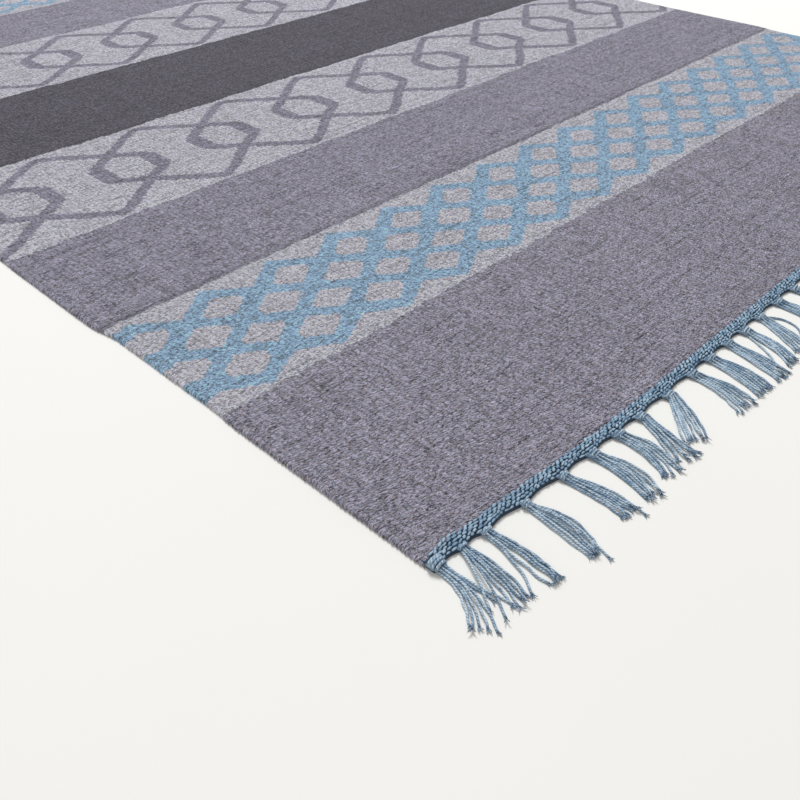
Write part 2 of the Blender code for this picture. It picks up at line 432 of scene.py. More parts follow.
class NodeGraph:
    """A short way to write a node tree."""

    def __init__(self, tree: bpy.types.NodeTree) -> None:
        """Takes the tree that the nodes go into."""
        self.tree = tree

    def put(self, socket: bpy.types.NodeSocket, value: object) -> None:
        """Links a socket to a value in the tree, or sets it to a plain one.

        Args:
            socket: The input.
            value: The value in the tree, or a number, colour, name or the like.
        """
        if isinstance(value, Value):
            self.tree.links.new(value.socket, socket)
        elif socket.type == "RGBA":
            socket.default_value = (*value, 1.0)
        else:
            socket.default_value = value

    def node(self, kind: str, inputs: dict | None = None, **settings: object) -> bpy.types.Node:
        """Adds a node.

        Args:
            kind: The node's type.
            inputs: What goes into its inputs, by their names or numbers.
            **settings: The node's own properties.

        Returns:
            The node.
        """
        made = self.tree.nodes.new(kind)
        for name, value in settings.items():
            setattr(made, name, value)
        for key, value in (inputs or {}).items():
            self.put(made.inputs[key], value)
        return made

    def add(self, kind: str, inputs: dict | None = None, output: object = 0, **settings: object) -> Value:
        """Adds a node, and gives one of its outputs."""
        return Value(self, self.node(kind, inputs, **settings).outputs[output])

    def math(self, operation: str, *values: object, clamp: bool = False) -> Value:
        """One Math node."""
        inputs = dict(enumerate(values))
        return self.add("ShaderNodeMath", inputs, operation=operation, use_clamp=clamp)

    def measure(self, operation: str, first: Value, second: object) -> Value:
        """A number from two vectors, such as their distance."""
        return self.add("ShaderNodeVectorMath", {0: first, 1: second}, "Value", operation=operation)

    def attribute(self, name: str, output: str = "Fac") -> Value:
        """What the mesh has stored under a name."""
        return self.add("ShaderNodeAttribute", output=output, attribute_name=name)

    def object_place(self) -> Value:
        """The place in the object's own coordinates."""
        return self.add("ShaderNodeTexCoord", output="Object")

    def join(self, x: object, y: object, z: object = 0.0) -> Value:
        """Three numbers made a vector."""
        return self.add("ShaderNodeCombineXYZ", {0: x, 1: y, 2: z})

    def split(self, vector: Value) -> list[Value]:
        """A vector's three numbers."""
        return [Value(self, s) for s in self.node("ShaderNodeSeparateXYZ", {0: vector}).outputs]

    def noise(self, place: Value, grain: Grain) -> Value:
        """Smooth noise about 0.5.

        Args:
            place: Where it is read.
            grain: How fine it is, and how it is stretched and moved.

        Returns:
            The noise.
        """
        if grain.stretch:
            place = place * grain.stretch
        if grain.start:
            place = place + grain.start
        fineness = {"Scale": grain.scale, "Detail": grain.detail, "Roughness": grain.rough}
        return self.add("ShaderNodeTexNoise", {"Vector": place, **fineness})

    def swing(self, place: Value, grain: Grain) -> Value:
        """Smooth noise about 0, as far each way as the grain swings."""
        return self.shift(self.noise(place, grain), -grain.swing, grain.swing)

    def speck(self, place: Value) -> Value:
        """An even random value for each place."""
        return self.add("ShaderNodeTexWhiteNoise", {"Vector": place}, noise_dimensions="3D")

    def shift(self, value: Value, low: float, high: float) -> Value:
        """A value from 0 to 1 made one from low to high."""
        return self.math("MULTIPLY_ADD", value, high - low, low)

    def ramp(self, value: Value, start: float, stop: float) -> Value:
        """A smooth step from 0 at start to 1 at stop."""
        inputs = {"Value": value, "From Min": start, "From Max": stop}
        return self.add("ShaderNodeMapRange", inputs, interpolation_type="SMOOTHSTEP")

    def tint(self, share: object, first: object, second: object, kind: str = "MIX") -> Value:
        """Two colours mixed by a share, held between 0 and 1."""
        inputs = {0: share, 6: first, 7: second}
        return self.add("ShaderNodeMix", inputs, 2, data_type="RGBA", blend_type=kind)

    def lit(self, colour: object, light: Value) -> Value:
        """A colour made lighter or darker."""
        return self.tint(1.0, colour, self.join(light, light, light), "MULTIPLY")


def new_material(name: str) -> tuple[Material, NodeGraph, bpy.types.Node]:
    """An empty material, its graph and its Principled shader.

    Args:
        name: The material's name.

    Returns:
        All three.
    """
    made = bpy.data.materials.new(name)
    made.use_nodes = True
    return made, NodeGraph(made.node_tree), made.node_tree.nodes["Principled BSDF"]


@dataclass(frozen=True)
class Wool:
    """The optical values that the wool and the cord share."""

    roughness: float = 0.92
    sheen: float = 0.10
    sheen_roughness: float = 0.5
    specular: float = 0.25

    def dress(
        self,
        graph: NodeGraph,
        shader: bpy.types.Node,
        colour: Value,
        height: Value | None = None,
        relief: float = 0.0,
    ) -> None:
        """Gives a shader its colour, its relief and the even values.

        Args:
            graph: The material's graph.
            shader: Its Principled shader.
            colour: The base colour.
            height: The relief's shape, or None for none.
            relief: How deep it is.
        """
        graph.put(shader.inputs["Base Color"], colour)
        shader.inputs["Roughness"].default_value = self.roughness
        shader.inputs["Sheen Weight"].default_value = self.sheen
        shader.inputs["Sheen Roughness"].default_value = self.sheen_roughness
        shader.inputs["Specular IOR Level"].default_value = self.specular
        if height is not None:
            inputs = {"Strength": 1.0, "Distance": relief, "Height": height}
            graph.put(shader.inputs["Normal"], graph.add("ShaderNodeBump", inputs))


@dataclass(frozen=True)
class CellRow:
    """A row of light cells in the lattice, in metres from the rug's end."""

    middle: float
    staggered: float
    half_width: float
    half_height: float
    lean: float


@dataclass(frozen=True)
class Stroke:
    """A straight stroke of the scroll, from one place to another in a repeat."""

    across_from: float
    from_end_from: float
    across_to: float
    from_end_to: float
    half_width: float


# The lattice, charted
CELL_ROWS = (
    # middle, staggered, half_width, half_height, lean
    CellRow(395.7 * MM, 0.00, 27.0 * MM, 19.0 * MM, 0.12),
    CellRow(361.7 * MM, 0.52, 29.0 * MM, 20.0 * MM, 0.02),
    CellRow(330.3 * MM, 0.00, 27.3 * MM, 17.8 * MM, 0.00),
    CellRow(300.5 * MM, 0.52, 28.0 * MM, 18.9 * MM, 0.00),
)

# Half of one repeat of the scroll, outwards from the middle of its eye
STROKES = (
    # across_from, from_end_from, across_to, from_end_to, half_width
    Stroke(37.5 * MM, 742 * MM, 37.5 * MM, 776 * MM, 11.2 * MM),
    Stroke(35.0 * MM, 785 * MM, 0.0 * MM, 812 * MM, 7.4 * MM),
    Stroke(35.0 * MM, 733 * MM, 0.0 * MM, 710 * MM, 7.4 * MM),
    Stroke(0.0 * MM, 812 * MM, 54.0 * MM, 854 * MM, 6.6 * MM),
    Stroke(54.0 * MM, 854 * MM, 76.0 * MM, 866 * MM, 6.6 * MM),
    Stroke(0.0 * MM, 710 * MM, 50.0 * MM, 667 * MM, 7.2 * MM),
    Stroke(50.0 * MM, 667 * MM, 76.0 * MM, 650 * MM, 7.2 * MM),
)


@dataclass(frozen=True)
class WovenWool:
    """Weft-faced melange wool: the bands, the two patterns and the weave."""

    plan: RugPlan
    plum: Colour = (0.260, 0.248, 0.310)
    plum_inner: Colour = (0.252, 0.242, 0.307)
    grey: Colour = (0.530, 0.523, 0.590)
    charcoal: Colour = (0.070, 0.066, 0.086)
    blue: Colour = (0.265, 0.405, 0.556)
    outline: Colour = (0.215, 0.207, 0.272)
    pale_weft: Colour = (0.560, 0.590, 0.660)
    brown: Colour = (0.330, 0.205, 0.150)
    indigo: Colour = (0.165, 0.270, 0.440)
    # The lattice and the scroll
    lattice_pitch: float = 89.3 * MM
    lattice_start: float = 17.0 * MM
    lattice_margin: float = 9.35 * MM
    lattice_low: float = 261.0 * MM
    lattice_low_rise: float = 24.5 * MM
    lattice_high: float = 405.0 * MM
    lattice_high_rise: float = 32.5 * MM
    cell_fullness: float = 1.13
    cell_cut: float = 0.90
    scroll_pitch: float = 152.0 * MM
    scroll_start: float = 76.5 * MM
    stroke_edge: float = 1.3 * MM
    # The edges of the bands, and the pale weft along them
    beating: tuple[Grain, ...] = (
        Grain(8.0, swing=7.0 * MM, stretch=(1.0, 0.2, 0.0)),
        Grain(42.0, swing=5.0 * MM, stretch=(1.0, 0.2, 0.0)),
    )
    pale_inset: float = 3.0 * MM
    pale_half: float = 2.8 * MM
    pale_share: float = 0.30
    # The floats, and the relief
    warp_pitch: float = 5.8 * MM
    row_pitch: float = 3.3 * MM
    stray_across: Grain = Grain(150.0, swing=3.6 * MM, start=(0.0, 3.1, 0.0))
    stray_along: Grain = Grain(150.0, swing=2.4 * MM, start=(7.7, 3.1, 0.0))
    seen_past: Span = (-0.55, -0.7)
    slant: float = 0.16
    roundness: Span = (0.6, 0.8)
    tightness: Span = (0.30, 0.80)
    fibre_turn: float = 13.0
    fibre_stretch: Place = (0.8, 2.6, 0.0)
    strokes: Grain = Grain(330.0, 3.0, 0.62, 1.75)
    fuzz: Grain = Grain(1000.0, 1.0, swing=1.20)
    lumps: Grain = Grain(135.0, 1.0, swing=0.35)
    pits: Grain = Grain(360.0, rough=0.6, start=(6.0, 1.0, 0.0))
    pit_range: Span = (0.55, 0.70)
    parted: Grain = Grain(290.0, 1.0, 0.4, stretch=(0.055, 1.0, 0.0))
    parted_break: Grain = Grain(60.0, 1.0, start=(5.0, 2.0, 0.0))
    parted_break_share: float = 0.22
    parted_range: Span = (0.715, 0.805)
    parted_depth: float = -0.32
    hollow_depth: float = -0.8
    height_middle: float = 0.46
    relief: float = 2.2 * MM
    # The mixed fibres
    streaks: Grain = Grain(330.0, 3.0, 0.7, 2.0, start=(3.0, 8.0, 0.0))
    float_tone: float = 0.16
    weft_tone: Grain = Grain(140.0, swing=0.30, stretch=(0.035, 1.0, 0.0))
    warp_tone: Grain = Grain(85.0, swing=0.26, stretch=(1.0, 0.08, 0.0))
    darkest_tone: float = 0.15
    brown_fibres: Grain = Grain(420.0, rough=0.6, stretch=(0.8, 1.6, 0.0))
    blue_fibres: Grain = Grain(420.0, rough=0.6, stretch=(0.8, 1.6, 0.0), start=(9.0, 4.0, 0.0))
    fibre_range: Span = (0.53, 0.68)
    fibre_shares: Span = (0.55, 0.45)
    dyed_range: Span = (0.12, 0.28)
    dyed_share: float = 0.2
    pale_range: Span = (0.52, 0.27)
    pale_evenness: float = 0.70
    # The painted shade in the relief's pits and the painted highlight on its crests, and the painted
    # light along the selvedges
    pit_to_crest: Span = (-0.25, 1.00)
    shade_range: Span = (-1.25, 1.20)
    shade_middle: float = 1.22
    darkest: float = 0.12
    # Where the painted light along the selvedges fades in, and how strong it is
    loop_range: Span = (2.0 * MM, 0.2 * MM)
    selvedge_painted_light: float = 0.9

    def build(self) -> Material:
        """The material, which reads the cloth's own `weave` attribute.

        Returns:
            The finished material.
        """
        material, graph, shader = new_material("woven_wool")
        plain = graph.attribute("weave", "Vector")
        across, along, hollow = graph.split(plain)
        # Painted light along the selvedges
        selvedge_light = self._painted_selvedge_light(graph, across)
        across = across + graph.swing(plain, self.stray_across)
        along = along + graph.swing(plain, self.stray_along)
        column, in_column = self._cells(graph, across / self.warp_pitch)
        odd = graph.math("FLOORED_MODULO", column, 2.0)
        row, in_row = self._cells(graph, along / self.row_pitch + odd * 0.5)
        cell = graph.join(column, row)
        height = self._height(graph, plain, cell, in_column, in_row) + hollow * self.hollow_depth
        past_x, past_y = self.seen_past
        seen_x = in_column * (past_x * self.warp_pitch) + across
        seen_y = in_row * (past_y * self.row_pitch) + along
        half = self.plan.length / 2
        yarn = self._bands(graph, plain, seen_x, half - abs(seen_y - half))
        _, green, _ = graph.split(yarn)
        strength = graph.shift(graph.ramp(green, *self.pale_range), self.pale_evenness, 1.0)
        base = self._melange(graph, yarn, cell, plain, strength)
        # Painted shade in the weave's pits and painted highlight on its crests, from the relief's height
        uneven = graph.shift(graph.ramp(height, *self.pit_to_crest), *self.shade_range)
        light = graph.math("MAXIMUM", uneven * strength + self.shade_middle, self.darkest)
        Wool().dress(graph, shader, graph.lit(base, light + selvedge_light), height, self.relief)
        return material

    @staticmethod
    def _cells(graph: NodeGraph, counted: Value) -> tuple[Value, Value]:
        """The number of the cell, and the place in it from -0.5 to 0.5.

        Args:
            graph: The material's graph.
            counted: The place, in cells.

        Returns:
            Both.
        """
        number = graph.math("FLOOR", counted)
        return number, counted - number - 0.5

    def _height(
        self, graph: NodeGraph, plain: Value, cell: Value, in_column: Value, in_row: Value
    ) -> Value:
        """The weave's relief, from about 0 in the pits to 1 on the floats.

        Args:
            graph: The material's graph.
            plain: The place on the cloth, along its wefts and warps.
            cell: The number of the float.
            in_column: The place across the warp, from -0.5 to 0.5.
            in_row: The place across the weft, from -0.5 to 0.5.

        Returns:
            The height.
        """
        leaning = in_column * self.slant + in_row
        arch = graph.shift(graph.speck(cell), *self.tightness)
        for place, roundness in zip((in_column, leaning), self.roundness):
            over = graph.math("COSINE", place * math.pi)
            arch = graph.math("MAXIMUM", over, 0.0) ** roundness * arch
        fibre = self._along_fibre(graph, plain)
        pits = graph.ramp(graph.noise(fibre, self.pits), *self.pit_range)
        broken = graph.noise(plain, self.parted_break) * self.parted_break_share
        parted = graph.ramp(broken + graph.noise(plain, self.parted), *self.parted_range)
        uneven = graph.swing(fibre, self.strokes) + graph.swing(plain, self.fuzz)
        uneven = uneven + graph.swing(plain, self.lumps)
        return arch + uneven + parted * self.parted_depth - pits + self.height_middle

    def _along_fibre(self, graph: NodeGraph, plain: Value) -> Value:
        """Places drawn out along the slant in which the spun fibres lie."""
        inputs = {"Vector": plain, "Angle": math.radians(self.fibre_turn)}
        return graph.add("ShaderNodeVectorRotate", inputs, rotation_type="Z_AXIS") * self.fibre_stretch

    def _bands(self, graph: NodeGraph, plain: Value, across: Value, from_end: Value) -> Value:
        """The colour of the yarn at each place: bands, lattice and scroll.

        Args:
            graph: The material's graph.
            plain: The place on the cloth.
            across: How far it is from the left selvedge.
            from_end: How far it is from the nearer end.

        Returns:
            The colour.
        """
        wavy = from_end
        for grain in self.beating:
            wavy = wavy + graph.swing(plain, grain)
        lattice = graph.tint(self._lattice(graph, across, from_end), self.grey, self.blue)
        scroll = graph.tint(self._scroll(graph, across, from_end), self.grey, self.outline)
        colour = self.plum
        on_pale = 0.0
        edge = self.plan.border_depth
        for band, beyond in zip(BANDS, (lattice, self.plum_inner, scroll, self.charcoal)):
            edge += band.depth
            colour = graph.tint(wavy > edge, colour, beyond)
            inwards = self.pale_inset if band.name.startswith("plum") else -self.pale_inset
            on_pale = on_pale + (abs(wavy - (edge + inwards)) < self.pale_half)
        return graph.tint(on_pale * self.pale_share, colour, self.pale_weft)

    @staticmethod
    def _beside_middle(graph: NodeGraph, across: Value, start: float, pitch: float) -> Value:
        """How far right of the nearest of many middles, a pitch apart."""
        share = graph.math("FRACT", (across - start) / pitch + 0.5)
        return (share - 0.5) * pitch

    def _lattice(self, graph: NodeGraph, across: Value, from_end: Value) -> Value:
        """The blue lattice.

        Args:
            graph: The material's graph.
            across: How far the place is from the left selvedge.
            from_end: How far it is from the nearer end.

        Returns:
            1 on the lattice, 0 on the cells in it and on the margins.
        """
        pitch = self.lattice_pitch
        inside = graph.math("MAXIMUM", across, self.lattice_margin)
        outside = 1.0
        for row in CELL_ROWS:
            start = self.lattice_start + row.staggered * pitch
            beside = self._beside_middle(graph, inside, start, pitch)
            sideways = abs(beside) / row.half_width
            upwards = abs(from_end - (beside * row.lean + row.middle)) / row.half_height
            slanted = (sideways + upwards) / self.cell_fullness
            reach = graph.math("MAXIMUM", slanted, sideways / self.cell_cut)
            outside = (reach > 1.0) * outside
        beside = self._beside_middle(graph, inside, self.lattice_start, pitch)
        peak = abs(beside) * (-2.0 / pitch) + 1.0
        high = peak * self.lattice_high_rise + self.lattice_high
        low = peak * self.lattice_low_rise + self.lattice_low
        return (from_end < high) * (from_end > low) * outside

    def _scroll(self, graph: NodeGraph, across: Value, from_end: Value) -> Value:
        """The scroll's grey lines.

        Args:
            graph: The material's graph.
            across: How far the place is from the left selvedge.
            from_end: How far it is from the nearer end.

        Returns:
            1 on the lines, 0 beside them.
        """
        beside = self._beside_middle(graph, across, self.scroll_start, self.scroll_pitch)
        place = graph.join(abs(beside), from_end)
        margin = 1.0
        for stroke in STROKES:
            width = stroke.across_to - stroke.across_from
            height = stroke.from_end_to - stroke.from_end_from
            gone = place - (stroke.across_from, stroke.from_end_from, 0.0)
            measure = graph.measure("DOT_PRODUCT", gone, (width, height, 0.0))
            share = graph.math("DIVIDE", measure, width**2 + height**2, clamp=True)
            nearest = graph.join(share * width, share * height)
            gap = graph.measure("DISTANCE", gone, nearest) - stroke.half_width
            margin = graph.math("MINIMUM", gap, margin)
        return graph.ramp(margin, self.stroke_edge, -self.stroke_edge)

    def _melange(
        self, graph: NodeGraph, yarn: Value, cell: Value, plain: Value, strength: Value
    ) -> Value:
        """Wool of many fibres: lighter and darker streaks, brown and blue ones.

        Args:
            graph: The material's graph.
            yarn: The yarn's own colour.
            cell: The number of the float.
            plain: The place on the cloth.
            strength: How mixed the yarn's fibres are.

        Returns:
            The colour.
        """
        uneven = graph.swing(self._along_fibre(graph, plain), self.streaks)
        uneven = uneven + graph.shift(graph.speck(cell), -self.float_tone, self.float_tone)
        uneven = uneven + graph.swing(plain, self.weft_tone) + graph.swing(plain, self.warp_tone)
        light = graph.math("MAXIMUM", uneven * strength + 1.0, self.darkest_tone)
        toned = graph.lit(yarn, light)
        red, _, blue = graph.split(yarn)
        mixed = graph.shift(graph.ramp(blue - red, *self.dyed_range), 1.0, self.dyed_share)
        fibres = (self.brown_fibres, self.brown), (self.blue_fibres, self.indigo)
        for (grain, colour), share in zip(fibres, self.fibre_shares):
            found = graph.ramp(graph.noise(plain, grain), *self.fibre_range)
            toned = graph.tint(found * share * mixed, toned, colour)
        return toned

    def _painted_selvedge_light(self, graph: NodeGraph, across: Value) -> Value:
        """Painted light along the selvedges, lightening the colour where their rounded edges fall in
        shade.
        """
        half = self.plan.width / 2
        return graph.ramp(half - abs(across - half), *self.loop_range) * self.selvedge_painted_light


@dataclass(frozen=True)
class BlueCord:
    """Plied blue cord, whose twist reads the strand's own attributes."""

    colour: Colour = (0.175, 0.285, 0.415)
    pale: Colour = (0.530, 0.650, 0.755)
    # The dark navy of the worn tips, and of the painted shade near the border and on the wraps
    worn_and_shaded: Colour = (0.075, 0.135, 0.225)
    plies: float = 2.0
    ply_pitch: float = 5.6 * MM
    fibre: Grain = Grain(900.0, rough=0.7, swing=1.2)
    blotch: Grain = Grain(240.0, rough=0.6, swing=1.5)
    tone_range: Span = (0.14, 1.05)
    ply_shade: Span = (0.66, 1.16)
    fibre_height: float = 0.5
    relief: float = 0.24 * MM

    def build(self) -> Material:
        """The material, which reads `along`, `ring`, `tone` and the attribute that holds wear and painted
        shade.

        Returns:
            The finished material.
        """
        material, graph, shader = new_material("blue_cord")
        x, y, _ = graph.split(graph.attribute("ring", "Vector"))
        turned = graph.attribute("along") / self.ply_pitch * (2 * math.pi * self.plies)
        phase = turned + graph.math("ARCTAN2", y, x) * self.plies
        ply = graph.shift(graph.math("SINE", phase), 0.5, 1.0)
        place = graph.object_place()
        fibre = graph.noise(place, self.fibre)
        lift = graph.shift(fibre, -self.fibre.swing, self.fibre.swing)
        lift = lift + graph.swing(place, self.blotch)
        lift = lift + graph.shift(graph.attribute("tone"), *self.tone_range)
        colour = graph.tint(lift, self.colour, self.pale)
        shaded = graph.lit(colour, graph.shift(ply, *self.ply_shade))
        # Darkened by wear at the tips and by painted shade nearer the border
        shaded = graph.tint(graph.attribute("worn_and_shaded"), shaded, self.worn_and_shaded)
        Wool().dress(graph, shader, shaded, ply + fibre * self.fibre_height, self.relief)
        return material


@dataclass(frozen=True)
class BorderStitch:
    """The smooth blue yarn of the border's stitches, with painted shade down their sides."""

    colour: Colour = (0.150, 0.275, 0.410)
    pale: Colour = (0.430, 0.570, 0.700)
    # The painted shade down each stitch's sides
    side: Colour = (0.030, 0.055, 0.092)
    fibre: Grain = Grain(800.0, rough=0.7, swing=0.7)
    tone_share: float = 0.85
    painted_side_shade_range: Span = (-0.02, 0.36)
    relief: float = 0.25 * MM

    def build(self) -> Material:
        """The material, which reads the stitch's `ring` and `tone`.

        Returns:
            The finished material.
        """
        material, graph, shader = new_material("border_stitch")
        _, upwards, _ = graph.split(graph.attribute("ring", "Vector"))
        fibre = graph.noise(graph.object_place(), self.fibre)
        lift = graph.shift(fibre, -self.fibre.swing, self.fibre.swing)
        lift = lift + graph.attribute("tone") * self.tone_share
        colour = graph.tint(lift, self.colour, self.pale)
        # Painted shade down the stitch's sides, below its top
        shaded = graph.tint(graph.ramp(upwards, *self.painted_side_shade_range), self.side, colour)
        Wool().dress(graph, shader, shaded, fibre, self.relief)
        return material


@dataclass(frozen=True)
class BorderCore:
    """The core's near-black colour: painted shade deep between and under the border's stitches."""

    # Nearly black: painted shade between and under the stitches
    colour: Colour = (0.030, 0.050, 0.080)
    mottle: Grain = Grain(600.0, swing=0.4)

    def build(self) -> Material:
        """The material, with a faint mottle of fibres.

        Returns:
            The finished material.
        """
        material, graph, shader = new_material("border_core_shade")
        light = graph.swing(graph.object_place(), self.mottle) + 1.0
        Wool().dress(graph, shader, graph.lit(self.colour, light))
        return material


@dataclass(frozen=True)
class FloorPaint:
    """The plain pale floor."""

    colour: Colour = (0.825, 0.818, 0.792)
    roughness: float = 0.85
    mottle: Grain = Grain(3.0, 3.0, swing=0.015)

    def build(self) -> Material:
        """The material, with the faintest mottle.

        Returns:
            The finished material.
        """
        material, graph, shader = new_material("pale_floor")
        light = graph.swing(graph.object_place(), self.mottle) + 1.0
        graph.put(shader.inputs["Base Color"], graph.lit(self.colour, light))
        shader.inputs["Roughness"].default_value = self.roughness
        return material


def linked(name: str, data: bpy.types.ID) -> Item:
    """A new object in the scene, at the origin.

    Args:
        name: Its name.
        data: Its mesh, light or camera.

    Returns:
        The object.
    """
    made = bpy.data.objects.new(name, data)
    bpy.context.scene.collection.objects.link(made)
    return made


def swept(name: str, rings: np.ndarray, material: Material) -> bpy.types.Mesh:
    """A closed mesh through a row of like rings, with a flat face at each end.

    Args:
        name: The mesh's name.
        rings: The points, by ring, by place round it, and by axis.
        material: What it is made of.

    Returns:
        The mesh, its two end faces last.
    """
    number = np.arange(rings.shape[0] * rings.shape[1]).reshape(rings.shape[:2])
    here, beyond = number[:-1], number[1:]
    sides = [here, np.roll(here, -1, axis=1), np.roll(beyond, -1, axis=1), beyond]
    faces = np.stack(sides, axis=2).reshape(-1, 4).tolist()
    faces += [number[0][::-1].tolist(), number[-1].tolist()]
    mesh = bpy.data.meshes.new(name)
    mesh.from_pydata(rings.reshape(-1, 3).tolist(), [], faces)
    mesh.materials.append(material)
    return mesh


class PieceTree:
    """A Geometry Nodes tree with named inputs, which makes finished pieces."""

    def __init__(self, name: str, **inputs: str) -> None:
        """Starts the tree.

        Args:
            name: The tree's name.
            **inputs: Its named inputs and their kinds, beside the geometry.
        """
        tree = bpy.data.node_groups.new(name, "GeometryNodeTree")
        self.graph = NodeGraph(tree)
        self.keys = {}
        for title, kind in {"Geometry": "Geometry", **inputs}.items():
            kind = f"NodeSocket{kind}"
            port = tree.interface.new_socket(title, in_out="INPUT", socket_type=kind)
            self.keys[title] = port.identifier
        tree.interface.new_socket("Geometry", in_out="OUTPUT", socket_type="NodeSocketGeometry")
        self.given = self.graph.add("NodeGroupInput")

    def end(self, geometry: Value, material: Material) -> None:
        """Ends the tree with real, smooth faces in one material.

        Args:
            geometry: What the tree has made.
            material: Its material.
        """
        add = self.graph.add
        solid = add("GeometryNodeRealizeInstances", {"Geometry": geometry})
        smooth = add("GeometryNodeSetShadeSmooth", {"Geometry": solid})
        dressed = add("GeometryNodeSetMaterial", {"Geometry": smooth, "Material": material})
        self.graph.node("NodeGroupOutput", {"Geometry": dressed})

    def stored(self, geometry: Value, name: str, value: Value, kind: str, domain: str) -> Value:
        """The geometry with an attribute stored on it.

        Args:
            geometry: What it is stored on.
            name: Its name.
            value: Its value at each place.
            kind: The kind of its values.
            domain: What each value belongs to.

        Returns:
            The geometry with it.
        """
        inputs = {"Geometry": geometry, "Name": name, "Value": value}
        kinds = {"data_type": kind, "domain": domain}
        return self.graph.add("GeometryNodeStoreNamedAttribute", inputs, **kinds)

    def make(self, source: Item, name: str, **values: object) -> Item:
        """The finished piece that the tree makes of an object of edges.

        Args:
            source: The edges, which are used up.
            name: The piece's name.
            **values: What the named inputs are set to.

        Returns:
            The piece, a plain mesh.
        """
        modifier = source.modifiers.new(self.graph.tree.name, "NODES")
        modifier.node_group = self.graph.tree
        for title, value in values.items():
            modifier[self.keys[title]] = value
        state = bpy.context.evaluated_depsgraph_get()
        mesh = bpy.data.meshes.new_from_object(source.evaluated_get(state))
        bpy.data.objects.remove(source, do_unlink=True)
        mesh.name = name
        return linked(name, mesh)


class StrandTree(PieceTree):
    """Gives wires a round body: a ring swept along each."""

    def __init__(self, material: Material) -> None:
        """Builds the tree.

        Args:
            material: The strands' material.
        """
        super().__init__("strand body", Sides="Int")
        add = self.graph.add
        radius = add("GeometryNodeInputNamedAttribute", {"Name": "radius_here"}, data_type="FLOAT")
        curve = add("GeometryNodeMeshToCurve", {"Mesh": self.given})
        curve = add("GeometryNodeSetCurveRadius", {"Curve": curve, "Radius": radius})
        inputs = {"Resolution": self.given.other("Sides"), "Radius": 1.0}
        circle = add("GeometryNodeCurvePrimitiveCircle", inputs)
        place = add("GeometryNodeInputPosition")
        ring = self.stored(circle, "ring", place, "FLOAT_VECTOR", "POINT")
        inputs = {"Curve": curve, "Profile Curve": ring, "Fill Caps": True}
        body = self.graph.node("GeometryNodeCurveToMesh", inputs)
        if "Scale" in body.inputs:
            self.graph.put(body.inputs["Scale"], radius)
        self.end(Value(self.graph, body.outputs[0]), material)


@dataclass
class Wire:
    """Strands gathered as wires, with what each needs to become a cord."""

    places: list[np.ndarray] = field(default_factory=list)
    radii: list[np.ndarray] = field(default_factory=list)
    along: list[np.ndarray] = field(default_factory=list)
    tones: list[np.ndarray] = field(default_factory=list)
    wear_and_shade: list[np.ndarray] = field(default_factory=list)

    def add(self, places: np.ndarray, radii: object, tone: float, wear_and_shade: object = 0.0) -> None:
        """Adds one strand.

        Args:
            places: Its points.
            radii: Its thickness at each, or all along.
            tone: How pale it is, from 0 to 1.
            wear_and_shade: How much it is darkened at each point, or all along, by use at the tips and by
                painted shade.
        """
        steps = np.linalg.norm(np.diff(places, axis=0), axis=1)
        self.places.append(places)
        self.along.append(np.concatenate([[0.0], np.cumsum(steps)]))
        for kept, value in ((self.radii, radii), (self.tones, tone), (self.wear_and_shade, wear_and_shade)):
            kept.append(np.zeros(len(places)) + value)

    def object(self, name: str) -> Item:
        """The strands as one object of edges with point attributes.

        Args:
            name: The object's name.

        Returns:
            The object.
        """
        stops = np.cumsum([len(strand) for strand in self.places])
        first = np.setdiff1d(np.arange(stops[-1]), stops - 1)
        edges = np.stack([first, first + 1], axis=1)
        mesh = bpy.data.meshes.new(name)
        mesh.from_pydata(np.concatenate(self.places).tolist(), edges.tolist(), [])
        kinds = {"radius_here": self.radii, "along": self.along, "tone": self.tones, "worn_and_shaded": self.wear_and_shade}
        for key, parts in kinds.items():
            made = mesh.attributes.new(key, "FLOAT", "POINT")
            made.data.foreach_set("value", np.concatenate(parts).astype(np.float32))
        return linked(name, mesh)


